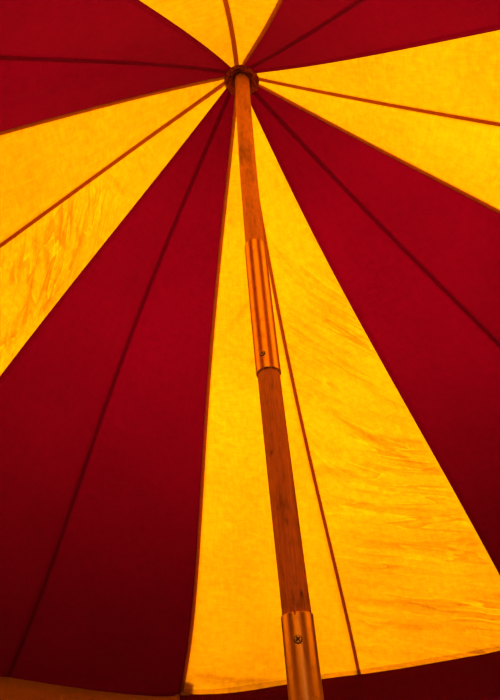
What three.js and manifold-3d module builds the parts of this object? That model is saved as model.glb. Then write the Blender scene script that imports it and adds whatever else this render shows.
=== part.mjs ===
// A round medieval tent: a sixteen-sided canvas cone on a centre pole, with counterchanged hanging walls,
// a doorway between two guy ropes towards -Y, and a guy rope and a peg at every eave corner. Millimetres,
// +Z up, with the origin under the centre pole at ground level.
import * as THREE from "three";
import { mergeVertices } from "three/addons/utils/BufferGeometryUtils.js";
import Module from "manifold-3d";

const wasm = await Module();
wasm.setup();

// Driving dimensions
const APEX_HEIGHT = 3740; // where the gores would meet on the pole's axis
const EAVE_RADIUS = 2160; // from the axis to an eave corner
const EAVE_HEIGHT = 1900;
const GORES = 16;
const CANVAS = 6; // thickness of a cloth solid, seams and hems included
const GAP = 0.3; // between pieces that touch

const WALL_INSET = 8; // the roof's hem stands this far out past the wall
const WALL_FOOT_RADIUS = 2230; // the wall flares a little to the ground

const DOOR_TIE_HEIGHT = 950; // the two flaps are tied back here
const DOOR_TIE_SHARE = 0.3; // share of the half doorway that a drawn flap still covers there
const DOOR_FOOT_SHARE = 0.36;
const DOOR_CURVE = 1.6; // how late, going up, a flap's edge swings in to the middle

const POLE_DIAMETER = 60;
const SLEEVE_DIAMETER = 66;
const SLEEVE_LENGTH = 500;
const SLEEVE_UPPER_TOP = 2665;
const SLEEVE_LOWER_TOP = 1551;
const POLE_TIP_RADIUS = 12; // the head is a cone that ends in this small flat

const ROOF_HOLE_RADIUS = 20; // the gores are cut off here, round the pole's tip
const CROWN_PATCH_RADIUS = 72;
const CROWN_CAP_RADIUS = 70;
const LEATHER = 4;

const ROPE_DIAMETER = 10;
const PEG_RADIUS = 3400; // from the axis to where a rope meets its peg
const PEG_HEIGHT = 190;
const PEG_WIDTH = 34;
const PEG_DEPTH = 40;
const PEG_LEAN = 14; // degrees, away from the tent
const PEG_NOTCH_HEIGHT = 120; // underside of the hook that holds the rope
const PEG_NOTCH = 18; // how deep it is cut
const PEG_CHAMFER = 8;
const RUNNER_SHARE = 0.62; // how far down the rope its tightening runner sits
const RUNNER_SIZE = [70, 16, 30]; // along the rope, through it, and from leg to leg

// Sizes worked out from them
const ROOF_SLOPE = (APEX_HEIGHT - EAVE_HEIGHT) / EAVE_RADIUS;
const ROOF_DROP = (CANVAS / 2) * Math.hypot(1, ROOF_SLOPE); // half the cloth, measured upright
const LEATHER_DROP = LEATHER * Math.hypot(1, ROOF_SLOPE);
const STEP = (2 * Math.PI) / GORES;
const FLAT = Math.cos(STEP / 2); // how much nearer the middle of a gore is than its corners
const WALL_TOP_RADIUS = EAVE_RADIUS - WALL_INSET;
const WALL_TOP = roofHeight(WALL_TOP_RADIUS + CANVAS / 2) - ROOF_DROP - GAP;

// Colours from the photograph
const YELLOW_CANVAS = cloth(0xf7b400);
const RED_CANVAS = cloth(0x8b0a14);
const LEATHER_BROWN = finish(0x3c1c0e, 0.8, 0);
const POLE_WOOD = finish(0xb5602a, 0.5, 0);
const SLEEVE_METAL = finish(0xc98232, 0.35, 0.9);
const ROPE_HEMP = finish(0xb79c6c, 0.9, 0);
const PEG_WOOD = finish(0x8a6a45, 0.75, 0);

function finish(colour, roughness, metalness) {
  return new THREE.MeshStandardMaterial({ color: colour, roughness, metalness });
}

function cloth(colour) {
  const material = finish(colour, 0.9, 0);
  material.side = THREE.DoubleSide;
  return material;
}

function roofHeight(radius) {
  return APEX_HEIGHT - ROOF_SLOPE * radius;
}

function polar(radius, azimuth, height) {
  return new THREE.Vector3(radius * Math.cos(azimuth), radius * Math.sin(azimuth), height);
}

// A closed plate between two grids of points that match, grid[row][column], the first on the outside.
function plate(outer, inner) {
  const rows = outer.length;
  const columns = outer[0].length;
  const points = [...outer.flat(), ...inner.flat()];
  const at = (layer, row, column) => (layer * rows + row) * columns + column;
  const index = [];
  const quad = (a, b, c, d) => index.push(a, b, c, a, c, d);
  for (let r = 0; r + 1 < rows; r++) {
    for (let c = 0; c + 1 < columns; c++) {
      quad(at(0, r, c), at(0, r, c + 1), at(0, r + 1, c + 1), at(0, r + 1, c));
      quad(at(1, r, c), at(1, r + 1, c), at(1, r + 1, c + 1), at(1, r, c + 1));
    }
    quad(at(0, r, 0), at(0, r + 1, 0), at(1, r + 1, 0), at(1, r, 0));
    quad(at(0, r + 1, columns - 1), at(0, r, columns - 1), at(1, r, columns - 1), at(1, r + 1, columns - 1));
  }
  for (let c = 0; c + 1 < columns; c++) {
    quad(at(0, 0, c + 1), at(0, 0, c), at(1, 0, c), at(1, 0, c + 1));
    quad(at(0, rows - 1, c), at(0, rows - 1, c + 1), at(1, rows - 1, c + 1), at(1, rows - 1, c));
  }
  const geometry = new THREE.BufferGeometry().setFromPoints(points);
  geometry.setIndex(index);
  geometry.computeVertexNormals();
  return geometry;
}

// Seam 0 is the middle seam of the yellow sector on the right, and they run anticlockwise from above.
// The doorway's gore, between seams 12 and 13, faces -Y.
function seamAzimuth(seam) {
  return (seam - 0.5) * STEP;
}

// A point on each of a run of seams, with half the play to the neighbouring cloths at both ends.
function seamPoints(seams, radius, height) {
  return seams.map((seam, i) => {
    const azimuth = seamAzimuth(seam);
    const inwards = Number(i === 0) - Number(i === seams.length - 1);
    return polar(radius, azimuth, height).add(polar((inwards * GAP) / 2, azimuth + Math.PI / 2, 0));
  });
}

function mesh(name, geometry, material) {
  const made = new THREE.Mesh(geometry, material);
  made.name = name;
  return made;
}

// Flat gores that meet at ridges, from the hole at the crown down to the eave.
function roofCloth(seams) {
  const surface = (lift) =>
    [EAVE_RADIUS, ROOF_HOLE_RADIUS].map((radius) => seamPoints(seams, radius, roofHeight(radius) + lift));
  return plate(surface(ROOF_DROP), surface(-ROOF_DROP));
}

// Flat widths of cloth from the ground up to the underside of the roof.
function wallCloth(seams) {
  const surface = (out) => [
    seamPoints(seams, WALL_FOOT_RADIUS + out, 0),
    seamPoints(seams, WALL_TOP_RADIUS + out, WALL_TOP),
  ];
  return plate(surface(CANVAS / 2), surface(-CANVAS / 2));
}

// The share of the half doorway that a flap covers at a height: all of it at the eave, drawn back along a
// curve to the tie, and falling straight from there to the ground.
function flapShare(height) {
  if (height < DOOR_TIE_HEIGHT) {
    return THREE.MathUtils.lerp(DOOR_FOOT_SHARE, DOOR_TIE_SHARE, height / DOOR_TIE_HEIGHT);
  }
  const rise = (height - DOOR_TIE_HEIGHT) / (WALL_TOP - DOOR_TIE_HEIGHT);
  return THREE.MathUtils.lerp(DOOR_TIE_SHARE, 1, Math.pow(rise, DOOR_CURVE));
}

// One drawn half of the doorway's cloth, hung from the first or the second of the doorway's two seams.
function doorFlap(seams, hungFrom) {
  const heights = [0, DOOR_TIE_HEIGHT / 2];
  const steps = 6;
  for (let i = 0; i <= steps; i++) {
    heights.push(THREE.MathUtils.lerp(DOOR_TIE_HEIGHT, WALL_TOP, i / steps));
  }
  const surface = (out) =>
    heights.map((height) => {
      const radius = THREE.MathUtils.lerp(WALL_FOOT_RADIUS, WALL_TOP_RADIUS, height / WALL_TOP) + out;
      const corners = seamPoints(seams, radius, height);
      const hung = corners[hungFrom];
      const middle = corners[0].clone().add(corners[1]).divideScalar(2);
      middle.x += (hungFrom - 0.5) * GAP;
      const edge = hung.clone().lerp(middle, flapShare(height));
      return hungFrom === 0 ? [hung, edge] : [edge, hung];
    });
  return plate(surface(CANVAS / 2), surface(-CANVAS / 2));
}

// A ring or cap of leather that follows the cone, between two radii. lift is where its underside lies.
function conePlate(innerRadius, outerRadius, lift) {
  const profile = [
    [innerRadius, roofHeight(innerRadius) + lift],
    [outerRadius, roofHeight(outerRadius) + lift],
    [outerRadius, roofHeight(outerRadius) + lift + LEATHER_DROP],
    [innerRadius, roofHeight(innerRadius) + lift + LEATHER_DROP],
  ];
  if (innerRadius > 0) profile.push(profile[0]);
  return turned(profile, GORES);
}

// A profile of [radius, height] pairs turned about the pole's axis, with its corners in line with seams.
function turned(profile, segments) {
  const points = profile.map(([radius, height]) => new THREE.Vector2(radius, height));
  return new THREE.LatheGeometry(points, segments).rotateX(Math.PI / 2).rotateZ(STEP / 2);
}

function poleSection(bottom, top) {
  const radius = POLE_DIAMETER / 2;
  return turned([[0, bottom], [radius, bottom], [radius, top], [0, top]], 48);
}

// The head's cone bears on the gores and its tip on the cap.
function poleHead(bottom) {
  const radius = POLE_DIAMETER / 2;
  const seat = (r) => roofHeight(r / FLAT) - ROOF_DROP - GAP;
  const tip = seat(POLE_TIP_RADIUS);
  return turned([[0, bottom], [radius, bottom], [radius, seat(radius)], [POLE_TIP_RADIUS, tip], [0, tip]], 48);
}

function sleeve(top) {
  const bore = POLE_DIAMETER / 2 + GAP;
  const radius = SLEEVE_DIAMETER / 2;
  const bottom = top - SLEEVE_LENGTH;
  return turned([[bore, bottom], [radius, bottom], [radius, top], [bore, top], [bore, bottom]], 48);
}

const sleeveMiddle = (top) => top - SLEEVE_LENGTH / 2;

// A rod of rope between two points in the plane of a guy, x outwards and z up.
function ropeLeg(from, to, radius) {
  const path = new THREE.LineCurve3(new THREE.Vector3(...from), new THREE.Vector3(...to));
  const section = new THREE.Shape().absarc(0, 0, radius, 0, 2 * Math.PI);
  return new THREE.ExtrudeGeometry(section, { steps: 1, curveSegments: 8, extrudePath: path });
}

// A closed geometry as a solid that can be joined or cut.
function solid(geometry) {
  const bare = geometry.clone();
  bare.deleteAttribute("normal");
  bare.deleteAttribute("uv");
  const merged = mergeVertices(bare, 1e-3);
  return new wasm.Manifold(
    new wasm.Mesh({
      numProp: 3,
      vertProperties: merged.attributes.position.array,
      triVerts: new Uint32Array(merged.index.array),
    }),
  );
}

function geometryOf(made) {
  const { vertProperties, triVerts } = made.getMesh();
  const geometry = new THREE.BufferGeometry();
  geometry.setAttribute("position", new THREE.BufferAttribute(vertProperties, 3));
  geometry.setIndex(new THREE.BufferAttribute(triVerts, 1));
  geometry.computeVertexNormals();
  return geometry;
}

// A stake that leans away from the tent, with a hook on its far side, cut off at the ground.
function pegOutline() {
  const lean = Math.tan(THREE.MathUtils.degToRad(PEG_LEAN));
  const at = (out, height) => new THREE.Vector2(out + height * lean, height);
  const neck = PEG_DEPTH - PEG_NOTCH;
  return new THREE.Shape([
    at(0, 0),
    at(PEG_DEPTH, 0),
    at(PEG_DEPTH, PEG_NOTCH_HEIGHT - 2 * PEG_NOTCH),
    at(neck, PEG_NOTCH_HEIGHT - 1.2 * PEG_NOTCH),
    at(neck, PEG_NOTCH_HEIGHT),
    at(PEG_DEPTH, PEG_NOTCH_HEIGHT + PEG_CHAMFER),
    at(PEG_DEPTH, PEG_HEIGHT - PEG_CHAMFER),
    at(PEG_DEPTH - PEG_CHAMFER, PEG_HEIGHT),
    at(PEG_CHAMFER, PEG_HEIGHT),
    at(0, PEG_HEIGHT - PEG_CHAMFER),
  ]);
}

function peg() {
  const geometry = new THREE.ExtrudeGeometry(pegOutline(), { depth: PEG_WIDTH, bevelEnabled: false });
  return geometry.translate(0, 0, -PEG_WIDTH / 2).rotateX(Math.PI / 2).translate(PEG_RADIUS, 0, 0);
}

// The rope runs from the eave corner through the runner, round the peg under its hook and back up to the
// runner. The loop lies round the peg in straight legs, and a short level leg ties it to the eave.
function guyRope() {
  const rope = ROPE_DIAMETER / 2;
  const lean = Math.tan(THREE.MathUtils.degToRad(PEG_LEAN));
  const clear = rope * (1 + lean) + GAP;
  const side = PEG_WIDTH / 2 + rope + GAP;
  const loopHeight = PEG_NOTCH_HEIGHT - ROPE_DIAMETER;
  const eave = [EAVE_RADIUS + GAP, 0, EAVE_HEIGHT];
  const head = [EAVE_RADIUS + ROPE_DIAMETER, 0, EAVE_HEIGHT];
  const front = PEG_RADIUS + loopHeight * lean - clear;
  const back = PEG_RADIUS + loopHeight * lean + PEG_DEPTH - PEG_NOTCH + clear;
  const foot = [front, 0, loopHeight];
  const runner = head.map((from, i) => THREE.MathUtils.lerp(from, foot[i], RUNNER_SHARE));
  const legs = [
    [eave, head],
    [head, runner],
    [runner, [front, -side, loopHeight]],
    [runner, [front, side, loopHeight]],
    [[front, -side, loopHeight], [back, -side, loopHeight]],
    [[front, side, loopHeight], [back, side, loopHeight]],
    [[back, -side - rope, loopHeight], [back, side + rope, loopHeight]],
  ];
  const pitch = Math.atan2(head[2] - foot[2], foot[0] - head[0]);
  const bar = new THREE.BoxGeometry(...RUNNER_SIZE).rotateX(Math.PI / 2).rotateY(pitch);
  bar.translate(...runner);
  return geometryOf(
    legs.reduce((joined, [from, to]) => joined.add(solid(ropeLeg(from, to, rope))), solid(bar)),
  );
}

const tent = new THREE.Group();

// Each sector is two gores, in turns yellow over a red wall and red over a yellow wall.
const SIDES = ["right", "back_right", "back", "back_left", "left", "front_left", "front", "front_right"];
SIDES.forEach((side, i) => {
  const seams = [2 * i - 1, 2 * i, 2 * i + 1];
  const yellowRoof = i % 2 === 0;
  const [roof, wall] = yellowRoof ? ["yellow", "red"] : ["red", "yellow"];
  const [roofCanvas, wallCanvas] = yellowRoof ? [YELLOW_CANVAS, RED_CANVAS] : [RED_CANVAS, YELLOW_CANVAS];
  tent.add(mesh(`roof_${roof}_${side}`, roofCloth(seams), roofCanvas));
  const wallSeams = side === "front" ? seams.slice(0, 2) : seams;
  tent.add(mesh(`wall_${wall}_${side}`, wallCloth(wallSeams), wallCanvas));
  if (side === "front") {
    tent.add(mesh("door_flap_left", doorFlap(seams.slice(1), 0), wallCanvas));
    tent.add(mesh("door_flap_right", doorFlap(seams.slice(1), 1), wallCanvas));
  }
});

tent.add(
  mesh("crown_cap", conePlate(0, CROWN_CAP_RADIUS, ROOF_DROP + GAP), LEATHER_BROWN),
  mesh(
    "crown_patch",
    conePlate((POLE_DIAMETER / 2 + GAP) / FLAT, CROWN_PATCH_RADIUS, -ROOF_DROP - GAP - LEATHER_DROP),
    LEATHER_BROWN,
  ),
  mesh("pole_foot", poleSection(0, sleeveMiddle(SLEEVE_LOWER_TOP) - GAP / 2), POLE_WOOD),
  mesh(
    "pole_middle",
    poleSection(sleeveMiddle(SLEEVE_LOWER_TOP) + GAP / 2, sleeveMiddle(SLEEVE_UPPER_TOP) - GAP / 2),
    POLE_WOOD,
  ),
  mesh("pole_head", poleHead(sleeveMiddle(SLEEVE_UPPER_TOP) + GAP / 2), POLE_WOOD),
  mesh("sleeve_lower", sleeve(SLEEVE_LOWER_TOP), SLEEVE_METAL),
  mesh("sleeve_upper", sleeve(SLEEVE_UPPER_TOP), SLEEVE_METAL),
);

for (let i = 0; i < GORES; i++) {
  const guy = new THREE.Group();
  const number = String(i + 1).padStart(2, "0");
  guy.rotation.z = seamAzimuth(i);
  guy.add(mesh(`guy_rope_${number}`, guyRope(), ROPE_HEMP), mesh(`guy_peg_${number}`, peg(), PEG_WOOD));
  tent.add(guy);
}

export default tent;
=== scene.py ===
"""The looks of a round medieval tent: dyed canvas with daylight coming through it, a jointed pole,
leather at the crown, and rope guys on wooden pegs. Sizes are in millimetres, +Z up, the doorway at -Y."""

import math

import bpy
import numpy as np
from mathutils import Matrix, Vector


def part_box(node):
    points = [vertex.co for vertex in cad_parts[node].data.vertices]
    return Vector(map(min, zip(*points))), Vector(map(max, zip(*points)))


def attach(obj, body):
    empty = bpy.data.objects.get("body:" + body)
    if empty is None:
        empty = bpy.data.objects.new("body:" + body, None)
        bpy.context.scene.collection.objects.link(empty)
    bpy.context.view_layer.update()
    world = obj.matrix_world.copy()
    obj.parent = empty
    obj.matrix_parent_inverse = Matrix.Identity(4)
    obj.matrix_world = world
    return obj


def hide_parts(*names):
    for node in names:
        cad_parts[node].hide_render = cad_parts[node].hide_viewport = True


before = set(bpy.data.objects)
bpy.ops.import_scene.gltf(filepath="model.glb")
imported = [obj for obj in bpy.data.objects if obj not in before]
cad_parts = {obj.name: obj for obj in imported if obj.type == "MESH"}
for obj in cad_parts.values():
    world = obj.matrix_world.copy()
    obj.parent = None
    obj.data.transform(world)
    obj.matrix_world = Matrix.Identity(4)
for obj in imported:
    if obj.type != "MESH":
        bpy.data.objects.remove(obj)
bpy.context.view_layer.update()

MM = 0.001
GORES = 16
STEP = 2 * math.pi / GORES
CHORD = 2 * math.sin(STEP / 2)  # a gore's width for each millimetre between its seams and the axis
APEX_HEIGHT = 3740
EAVE_RADIUS = 2160
EAVE_HEIGHT = 1900
SLOPE = (APEX_HEIGHT - EAVE_HEIGHT) / EAVE_RADIUS
SLANT = math.hypot(1, SLOPE)  # length down the cloth for each millimetre outwards
CROWN_HOLE = 20  # the gores start this far from the pole's axis
WALL_TOP_RADIUS = 2152
WALL_FOOT_RADIUS = 2230
WALL_TOP_DROP = 2.2  # the wall's top below the middle of the roof's cloth

# Canvas: its thickness, its felled seams and its hems
PLY = 0.5  # half of one thickness
SEAM_OUT, SEAM_IN = 0.6, 1.6  # how much prouder a felled seam is, outside and inside
MIDDLE_STRIP = 7.4  # half the felled seam down the middle of a sector
CROWN_STRIP = 1.4  # how much more that half is at the crown
EDGE_STRIP = 13  # the felled seam on a sector's own side of its boundary
NARROW_EDGE = {9: 8.5}  # the boundary, by its seam's number, where it is sewn narrower
CROWN_SEAM = 0.88  # how dark a folded seam is at the crown, against 1 from 1500 outwards
RED_EDGE_DARK = 0.15  # how dark the seam looks on the red side, where the yellow laps over the red
HEM = 34
HEADING = 170  # band of doubled canvas at the top of the walls
PAIR = 0.5  # between the two columns or rows that make the edge of a seam or hem
LIP_START, LIP, LIP_DROP = 0.1, 3, 0.8  # where a seam's lip lies under the next sector's edge
THROUGH_SHARE = 0.75  # of each face of the canvas that lets light through and does not scatter it back

# How the canvas hangs
SEAM_SAG = 6  # a seam's, halfway down
BELLY = 9  # a gore's, between its seams
CREASE_SHADE = 0.052  # painted shade along a crease, as a share of a folded seam's darkness, for each millimetre that it stands up
CREASE_SHADE_LIMIT = 0.36  # and that painted shade at most
# Four fifths of how far each gore's foot hangs below the straight line between its corners
EAVE_HANG = (12, 14, 10, 6, 16, 22, 12, 10, 14, 12, 16, 12, 10, 12, 14, 10)
SLACK_CORNER, SLACK, SLACK_REACH = 5, 24, 560  # the eave corner that hangs lower, how much and how far in
TAKEN_UP_SEAM, TAKEN_UP = 6, 28  # the seam where the wall is sewn this much further up inside the roof
# Gores count round the tent from the one over +X: the back's two, the left's first, the front left's two
BACK_GORE, BESIDE_BACK, LEFT_GORE, FRONT_LEFT_GORES = 3, 4, 7, (9, 10)

# Light, in metres and watts: an even pale studio, and one large soft lamp overhead, a little to the right
# and the back
SKY = 0.72
LAMP_PLACE, LAMP_SIZE, LAMP_WATTS = (1.0, 1.4, 15.9), 5.5, 5750
FLOOR_REACH, FLOOR_DROP = 40, 0.002  # from the middle, and below the tent's foot

POLE_RADIUS = 30
SLEEVE_RADIUS = 33
SLEEVE_LENGTH = 500
SLEEVE_UPPER_TOP = 2665
SLEEVE_LOWER_TOP = 1551
GAP = 0.3  # between pieces that touch
SEEN = -94  # the side of the pole that the photograph shows, in degrees from +X

ROPE_RADIUS = 5
ROPE_LAY = 46  # one turn of a strand
PEG_RADIUS = 3400
PEG_WIDTH = 34
PEG_DEPTH = 40
PEG_NECK = 22  # its depth under the hook
PEG_LEAN = math.tan(math.radians(14))
LOOP_HEIGHT = 110  # where the rope goes round the peg
ROPE_STAND = 6.5  # the rope's middle off the peg's wood
RUNNER_SHARE = 0.62  # of the way from the eave to the peg
RUNNER_SIZE = (70, 30, 16)

# How far each seam runs off its straight line, in degrees round the pole, at these distances from the axis.
# A hand-sewn roof pulled out by hand hangs a little unevenly, and the crown sits a little to one side.
DRIFT_RADII = np.array((0, 200, 400, 800, 1200, 1600, EAVE_RADIUS))
SEAM_DRIFT = (
    (1.9, 1.9, 1.35, 0.45, 0.3, 0.15, 0),
    (0.0, 0.0, -0.3, -0.95, -0.7, -0.4, 0),
    (1.6, 1.6, 1.6, 0.75, 0.35, 0.15, 0),
    (3.9, 3.9, 3.5, 2.1, 1.0, 0.25, 0),
    (3.2, 3.2, 2.9, 2.2, 1.35, 0.5, 0),
    (1.2, 1.4, 1.9, 1.55, 0.75, 0.25, 0.9),
    (1.8, 2.4, 3.0, 2.1, 1.05, 0.0, 0),
    (0.0, 0.4, 1.1, 1.4, 1.2, 0.6, 0),
    (0.4, 0.4, 0.35, -0.1, -0.1, -0.05, 0),
    (7.6, 6.6, 5.3, 4.0, 2.8, 1.5, 0),
    (5.0, 4.0, 1.3, -0.6, -0.6, -0.3, 0),
    (7.4, 6.2, 3.6, 1.6, 0.8, 0.3, 0),
    (8.0, 7.3, 5.9, 3.5, 2.0, 0.9, 0),
    (8.8, 8.0, 6.3, 3.8, 2.0, 0.9, 0),
    (6.2, 5.5, 4.4, 2.2, 1.2, 0.5, 0),
    (5.0, 4.2, 2.3, 0.25, 0.2, 0.1, 0),
)
DRIFT_CURVES = np.array([np.polyfit(DRIFT_RADII / EAVE_RADIUS, row, 4) for row in SEAM_DRIFT])

# Creases: for each gore by its number, share across it and radius at one end and the other, depth and width
CREASES = {
    3: (
        (0.45, 805, 0.05, 950, 2.7, 15), (0.92, 810, 0.60, 915, 2.3, 12), (0.50, 900, 0.19, 995, 2.2, 11),
        (0.82, 1040, 0.45, 1160, 2.5, 12), (0.72, 1128, 0.25, 1365, 3.8, 18),
        (0.56, 1232, 0.02, 1352, 3.1, 15), (0.33, 1062, 0.02, 1220, 2.3, 12),
        (0.29, 1355, 0.04, 1450, 2.5, 14), (0.97, 1325, 0.60, 1392, 2.5, 14),
        (0.95, 1440, 0.14, 1602, 3.1, 15), (0.99, 1578, 0.02, 1786, 2.9, 16),
        (0.95, 1687, 0.50, 1775, 2.2, 12), (0.97, 1840, 0.15, 1980, 2.7, 15),
        (0.99, 1925, 0.45, 2028, 2.3, 14), (0.90, 536, 0.50, 690, 2.2, 10),
        (0.86, 606, 0.45, 742, 2.0, 10),
    ),
    4: (
        (0.20, 685, 0.72, 790, 2.0, 16), (0.06, 669, 0.45, 820, 1.8, 18), (0.06, 864, 0.55, 948, 1.6, 18),
        (0.98, 2075, 0.45, 2135, 5.0, 22),
    ),
    7: (
        (0.97, 545, 0.25, 532, 2.1, 9), (0.82, 600, 0.46, 696, 2.5, 9), (0.46, 690, 0.20, 775, 2.5, 9),
        (0.92, 672, 0.60, 735, 3.0, 9), (0.96, 706, 0.42, 790, 3.4, 10), (0.88, 748, 0.66, 816, 3.3, 9),
        (0.67, 812, 0.33, 875, 3.6, 10), (0.34, 870, 0.20, 948, 3.2, 9), (0.90, 812, 0.49, 886, 3.6, 10),
        (0.53, 890, 0.16, 1022, 3.9, 11), (0.80, 874, 0.60, 970, 3.3, 10), (0.61, 710, 0.32, 738, 2.8, 8),
        (0.32, 736, 0.09, 840, 3.0, 9), (0.13, 848, 0.06, 975, 2.8, 9), (0.33, 975, 0.10, 1120, 3.8, 12),
        (0.27, 947, 0.10, 1056, 3.3, 10), (0.92, 424, 0.20, 452, 1.5, 8), (0.97, 365, 0.26, 363, 1.4, 7),
        (0.90, 1020, 0.40, 1180, 3.8, 13), (0.70, 1240, 0.15, 1420, 3.4, 14),
    ),
    9: (
        (0.40, 830, 0.80, 528, 2.6, 18), (0.62, 900, 0.88, 560, 2.2, 16),
    ),
    10: (
        (0.03, 470, 0.50, 361, 2.4, 14), (0.10, 640, 0.60, 420, 2.0, 15),
    ),
}


def linear(code):
    """An sRGB hex colour as linear red, green, blue and alpha."""
    parts = [int(code[i : i + 2], 16) / 255 for i in (0, 2, 4)]
    return tuple(p / 12.92 if p <= 0.04045 else ((p + 0.055) / 1.055) ** 2.4 for p in parts) + (1.0,)


def patches(x, y, seed):
    """Smooth random heights from -1 to 1: a random value at each whole x and y, eased between them."""
    table = np.random.default_rng(seed).uniform(-1, 1, (64, 64))
    column, row = np.floor(x).astype(int), np.floor(y).astype(int)
    a, b = (part * part * (3 - 2 * part) for part in (x - column, y - row))
    near, far = (
        table[column % 64, (row + j) % 64] * (1 - a) + table[(column + 1) % 64, (row + j) % 64] * a
        for j in (0, 1)
    )
    return near * (1 - b) + far * b


def ease(low, high, x):
    """0 up to low, 1 from high, and a smooth S between."""
    part = np.clip((x - low) / (high - low), 0, 1)
    return part * part * (3 - 2 * part)


def bell(x):
    """A bell curve: 1 at 0 and nearly 0 past 2 on either side."""
    return np.exp(-(x**2))


def unit(v):
    """Vectors of the same directions, one long."""
    return v / np.maximum(np.linalg.norm(v, axis=-1, keepdims=True), 1e-12)


def directions(count):
    """Evenly spaced angles round a circle."""
    return 2 * np.pi * np.arange(count) / count


def apart(angle, toward):
    """How far an angle is from a direction, from half a turn on one side to half a turn on the other."""
    return (angle - toward + np.pi) % (2 * np.pi) - np.pi


def turned_about_pole(points, angle):
    """Points turned round the pole's axis."""
    c, s = math.cos(angle), math.sin(angle)
    return points @ np.array(((c, s, 0), (-s, c, 0), (0, 0, 1)))


# Meshes


def grid_faces(rows, columns, first=0, around=False):
    """Four-cornered faces over a grid of points. The front is where the way along the columns, turned
    towards the way along the rows, points as a right-hand screw does. around joins the last column to the
    first."""
    r, c = np.meshgrid(np.arange(rows - 1), np.arange(columns if around else columns - 1), indexing="ij")
    after = (c + 1) % columns
    quad = (r * columns + c, r * columns + after, (r + 1) * columns + after, (r + 1) * columns + c)
    return first + np.stack([q.ravel() for q in quad], -1)


def thin_solid(outer, inner):
    """A closed solid between two grids of points that match, with a wall of faces round its edge."""
    rows, columns = outer.shape[:2]
    count = rows * columns
    index = np.arange(count).reshape(rows, columns)
    rim = np.concatenate([index[0, :-1], index[:-1, -1], index[-1, :0:-1], index[:0:-1, 0]])
    following = np.roll(rim, -1)
    edge = np.stack([following, rim, rim + count, following + count], -1)
    faces = [grid_faces(rows, columns), grid_faces(rows, columns, count)[:, ::-1], edge]
    return np.concatenate([outer.reshape(-1, 3), inner.reshape(-1, 3)]), np.concatenate(faces)


def both_faces(values):
    """A grid's values, listed for both faces of a thin solid."""
    return np.concatenate([values, values]).reshape(-1, *values.shape[2:])


def skin(rings):
    """A closed solid over rings of points, rings[row][point], each end shut by a fan to its middle."""
    rows, around = rings.shape[:2]
    ends = [np.repeat(ring.mean(0, keepdims=True), around, 0) for ring in (rings[0], rings[-1])]
    rings = np.concatenate([ends[0][None], rings, ends[1][None]])
    return rings.reshape(-1, 3), grid_faces(rows + 2, around, around=True)


def with_ends(values):
    """The values of a skin's rings, listed for its points: each end's middle takes those of its ring."""
    values = np.concatenate([values[:1], values, values[-1:]])
    return values.reshape(-1, *values.shape[2:])


def hoop(rings):
    """A closed solid over rings of points where the last ring joins the first, such as a tube's wall."""
    rows, around = rings.shape[:2]
    rings = np.concatenate([rings, rings[:1]])
    return rings.reshape(-1, 3), grid_faces(rows + 1, around, around=True)


def several(shapes):
    """Separate closed solids in one mesh."""
    firsts = np.cumsum([0] + [len(points) for points, _ in shapes])
    faces = [faces + first for (_, faces), first in zip(shapes, firsts)]
    return np.concatenate([points for points, _ in shapes]), np.concatenate(faces)


def piece(name, shape, finish, node=None, **fields):
    """An object at the origin with its place in its mesh, in a finish's material. Points that
    coincide are merged, so poles and seams are closed. node is the solid it replaces, and fields are
    numbers or vectors for each point, which the material reads."""
    points, faces = shape
    mesh = bpy.data.meshes.new(name)
    _, keep, order = np.unique(np.round(points, 3), axis=0, return_index=True, return_inverse=True)
    faces = order.ravel()[faces]
    same = faces == np.roll(faces, -1, 1)
    lists = [
        [v for v, double in zip(face, skip) if not double] if any(skip) else face
        for face, skip in zip(faces.tolist(), same.tolist())
    ]
    mesh.from_pydata((points[keep] * MM).tolist(), [], [face for face in lists if len(set(face)) > 2])
    for field, values in fields.items():
        values = np.asarray(values, float)
        kind, key = ("FLOAT", "value") if values.ndim == 1 else ("FLOAT_VECTOR", "vector")
        mesh.attributes.new(field, kind, "POINT").data.foreach_set(key, values[keep].ravel())
    mesh.polygons.foreach_set("use_smooth", [True] * len(mesh.polygons))
    mesh.materials.append(finish[0])
    made = bpy.data.objects.new(name, mesh)
    bpy.context.scene.collection.objects.link(made)
    mesh.update()
    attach(made, "root")
    if node:
        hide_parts(node)
    return made


# The roof's and the walls' surfaces: g counts seams round the tent, with a gore between whole numbers


def roof_width(radius):
    """A gore's width where its seams are this far from the axis."""
    return CHORD * radius


def wall_width(height):
    """A wall's width between seams, a little more at its foot."""
    return CHORD * (WALL_FOOT_RADIUS + (WALL_TOP_RADIUS - WALL_FOOT_RADIUS) * height / EAVE_HEIGHT)


def seam_line(seam, radius):
    """A point on a seam: at its own angle round the pole plus its drift, down the cone with a slight sag,
    and lower near the slack corner."""
    drift = sum(DRIFT_CURVES[seam % GORES, i] * (radius / EAVE_RADIUS) ** (4 - i) for i in range(5))
    angle = (seam - 0.5) * STEP + np.radians(drift)
    height = APEX_HEIGHT - SLOPE * radius - SEAM_SAG * np.sin(np.pi * radius / EAVE_RADIUS)
    slack = np.where(seam % GORES == SLACK_CORNER, SLACK, 0)
    height = height - slack * ease(EAVE_RADIUS - SLACK_REACH, EAVE_RADIUS, radius)
    return np.stack([radius * np.cos(angle), radius * np.sin(angle), height], -1)


def gore_normal(gore):
    """The outward direction of a gore's flat plane."""
    steep, angle = SLOPE / math.cos(STEP / 2), gore * STEP
    return unit(np.stack([steep * np.cos(angle), steep * np.sin(angle), np.ones(gore.shape)], -1))


def on_gore(share, radius):
    """A spot of the roof in its gore's own plane: across from the gore's middle, and down from the apex."""
    return (share - 0.5) * roof_width(radius), radius * SLANT


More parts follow.
